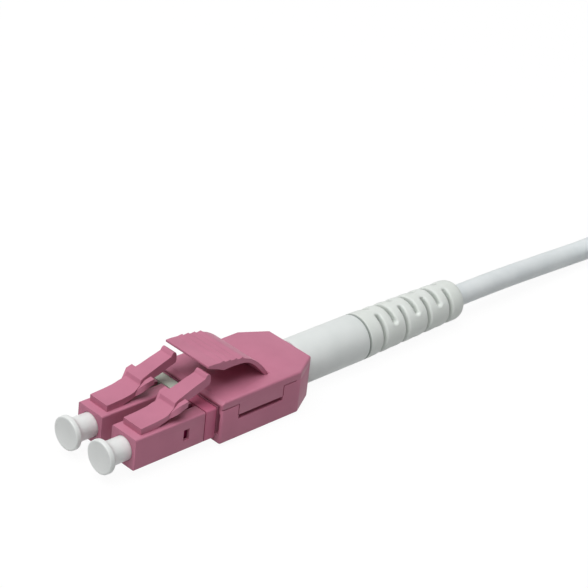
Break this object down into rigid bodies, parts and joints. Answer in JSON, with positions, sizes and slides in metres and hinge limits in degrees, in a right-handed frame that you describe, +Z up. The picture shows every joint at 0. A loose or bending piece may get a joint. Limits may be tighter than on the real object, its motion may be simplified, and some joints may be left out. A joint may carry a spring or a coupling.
{
  "type": "duplex fibre connector on a cable",
  "caption": "Two small fibre plugs with latches in one rear housing, released together by an arched trigger tab, with dust caps, slotted boot and a round white cable.",
  "frame": {"origin": "on the surface that the boot sleeve and the hank lie on, 0.35 mm below the rear housing's flat underside, centred under the connector from the dust caps to the end of the boot", "axes": "+X from the ferrules to the cable, +Y to the left plug, +Z up"},
  "size_m": [0.1551, 0.0286, 0.012],
  "materials": {
    "rose_plastic": "moulded, satin, slightly rosy violet",
    "crimson_plastic": "moulded, satin",
    "grey_green_plastic": "moulded, satin",
    "white_plastic": "moulded, smooth",
    "cap_plastic": "soft moulded, smooth",
    "boot_elastomer": "soft, satin",
    "jacket": "extruded, satin",
    "fibre_buffer": "extruded, smooth",
    "zirconia": "ground and polished",
    "nickel": "nickel plated",
    "spring_steel": "drawn wire",
    "aramid": "yarn"
  },
  "bodies": {
    "connector": {"plug_housing_right": "rose_plastic", "rear_body_right": "crimson_plastic", "spring_right": "spring_steel", "fibre_right": "fibre_buffer", "plug_housing_left": "rose_plastic", "rear_body_left": "grey_green_plastic", "spring_left": "spring_steel", "fibre_left": "fibre_buffer", "lower_body": "rose_plastic", "upper_cover": "rose_plastic", "crimp_body": "nickel", "aramid_yarn": "aramid", "crimp_ring": "nickel", "boot_sleeve": "white_plastic", "strain_boot": "boot_elastomer", "cable_core": "jacket", "cable": "jacket", "cable_hank": "jacket"},
    "latch_right": {"latch_right": "rose_plastic"},
    "ferrule_right": {"ferrule_right": "zirconia", "ferrule_flange_right": "nickel"},
    "dust_cap_right": {"dust_cap_right": "cap_plastic"},
    "latch_left": {"latch_left": "rose_plastic"},
    "ferrule_left": {"ferrule_left": "zirconia", "ferrule_flange_left": "nickel"},
    "dust_cap_left": {"dust_cap_left": "cap_plastic"},
    "trigger": {"trigger_tab": "rose_plastic"}
  },
  "joints": [
    {"name": "latch_bend_right", "type": "hinge", "parent": "connector", "child": "latch_right", "pos_m": [-0.02473, -0.00313, 0.0063], "axis": [0, 1, 0], "range_deg": [0, 16]},
    {"name": "ferrule_float_right", "type": "slide", "parent": "connector", "child": "ferrule_right", "axis": [1, 0, 0], "range_m": [0, 0.0008], "stiffness_N_per_m": 1500, "deforming": ["spring_right"]},
    {"name": "dust_cap_pull_right", "type": "slide", "parent": "connector", "child": "dust_cap_right", "axis": [-1, 0, 0], "range_m": [0, 0.006]},
    {"name": "latch_bend_left", "type": "hinge", "parent": "connector", "child": "latch_left", "pos_m": [-0.02473, 0.00313, 0.0063], "axis": [0, 1, 0], "range_deg": [0, 16]},
    {"name": "ferrule_float_left", "type": "slide", "parent": "connector", "child": "ferrule_left", "axis": [1, 0, 0], "range_m": [0, 0.0008], "stiffness_N_per_m": 1500, "deforming": ["spring_left"]},
    {"name": "dust_cap_pull_left", "type": "slide", "parent": "connector", "child": "dust_cap_left", "axis": [-1, 0, 0], "range_m": [0, 0.006]},
    {"name": "trigger_press", "type": "hinge", "parent": "connector", "child": "trigger", "pos_m": [-0.00688, 0, 0.00647], "axis": [0, -1, 0], "range_deg": [0, 9], "stiffness_Nm_per_rad": 0.002}
  ],
  "couplings": [
    {"joint": "latch_bend_right", "follows": "trigger_press", "ratio": 1.3},
    {"joint": "latch_bend_left", "follows": "trigger_press", "ratio": 1.3}
  ]
}
